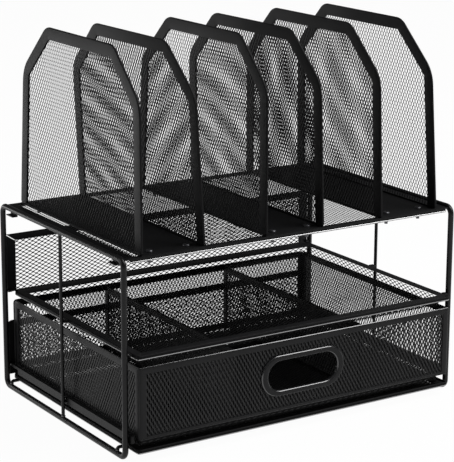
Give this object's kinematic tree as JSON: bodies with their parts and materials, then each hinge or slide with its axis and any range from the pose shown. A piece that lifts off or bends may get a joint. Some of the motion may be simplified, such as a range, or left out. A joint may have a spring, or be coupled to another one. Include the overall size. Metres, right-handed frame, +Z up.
{
  "type": "envelope sorter with drawer",
  "caption": "Black steel desk organizer: wire side frames carry a mesh paper tray, upright file racks on top, and below it a mesh drawer with dividers that slides out.",
  "frame": {"origin": "on the ground under the middle of the whole object", "axes": "+Z up, +X to the right seen from the front, the drawer opens towards -Y"},
  "size_m": [0.335, 0.229, 0.3303],
  "materials": {
    "frame_wire": "satin black powder coat",
    "rim_strip": "satin black powder coat",
    "base_plate": "satin black powder coat",
    "mesh_sheet": "satin black powder coat",
    "fastener": "black plated"
  },
  "bodies": {
    "frame": {"side_frame_left": "frame_wire", "side_frame_right": "frame_wire", "mid_upright_left": "frame_wire", "mid_upright_right": "frame_wire", "cross_wire_front": "frame_wire", "cross_wire_rear": "frame_wire", "top_tray_rim": "rim_strip", "top_tray_mesh": "mesh_sheet", "top_tray_clips": "rim_strip", "middle_tray_rim": "rim_strip", "middle_tray_walls": "mesh_sheet", "middle_tray_mesh": "mesh_sheet", "middle_back_frame": "rim_strip", "middle_back_mesh": "mesh_sheet", "middle_tray_tabs": "rim_strip", "bottom_tray_rim": "rim_strip", "bottom_tray_walls": "mesh_sheet", "bottom_tray_mesh": "mesh_sheet", "bottom_back_frame": "rim_strip", "bottom_back_mesh": "mesh_sheet", "drawer_guide_left": "rim_strip", "drawer_guide_right": "rim_strip", "guide_tabs": "rim_strip", "rack_base_left": "base_plate", "rack_base_middle": "base_plate", "rack_base_right": "base_plate", "rack_wall_1_strip": "rim_strip", "rack_wall_2_strip": "rim_strip", "rack_wall_3_strip": "rim_strip", "rack_wall_4_strip": "rim_strip", "rack_wall_5_strip": "rim_strip", "rack_wall_6_strip": "rim_strip", "rack_wall_1_mesh": "mesh_sheet", "rack_wall_2_mesh": "mesh_sheet", "rack_wall_3_mesh": "mesh_sheet", "rack_wall_4_mesh": "mesh_sheet", "rack_wall_5_mesh": "mesh_sheet", "rack_wall_6_mesh": "mesh_sheet", "rack_screws": "fastener", "rack_nuts": "fastener"},
    "drawer": {"drawer_floor_rim": "rim_strip", "drawer_floor_mesh": "mesh_sheet", "drawer_front_frame": "rim_strip", "drawer_front_mesh": "mesh_sheet", "handle_ring": "rim_strip", "drawer_left_frame": "rim_strip", "drawer_left_mesh": "mesh_sheet", "drawer_right_frame": "rim_strip", "drawer_right_mesh": "mesh_sheet", "drawer_rear_frame": "rim_strip", "drawer_rear_mesh": "mesh_sheet", "partition_left_frame": "rim_strip", "partition_left_mesh": "mesh_sheet", "partition_right_frame": "rim_strip", "partition_right_mesh": "mesh_sheet"}
  },
  "joints": [
    {"name": "drawer_slide", "type": "slide", "parent": "frame", "child": "drawer", "axis": [0, -1, 0], "range_m": [0, 0.17]}
  ]
}
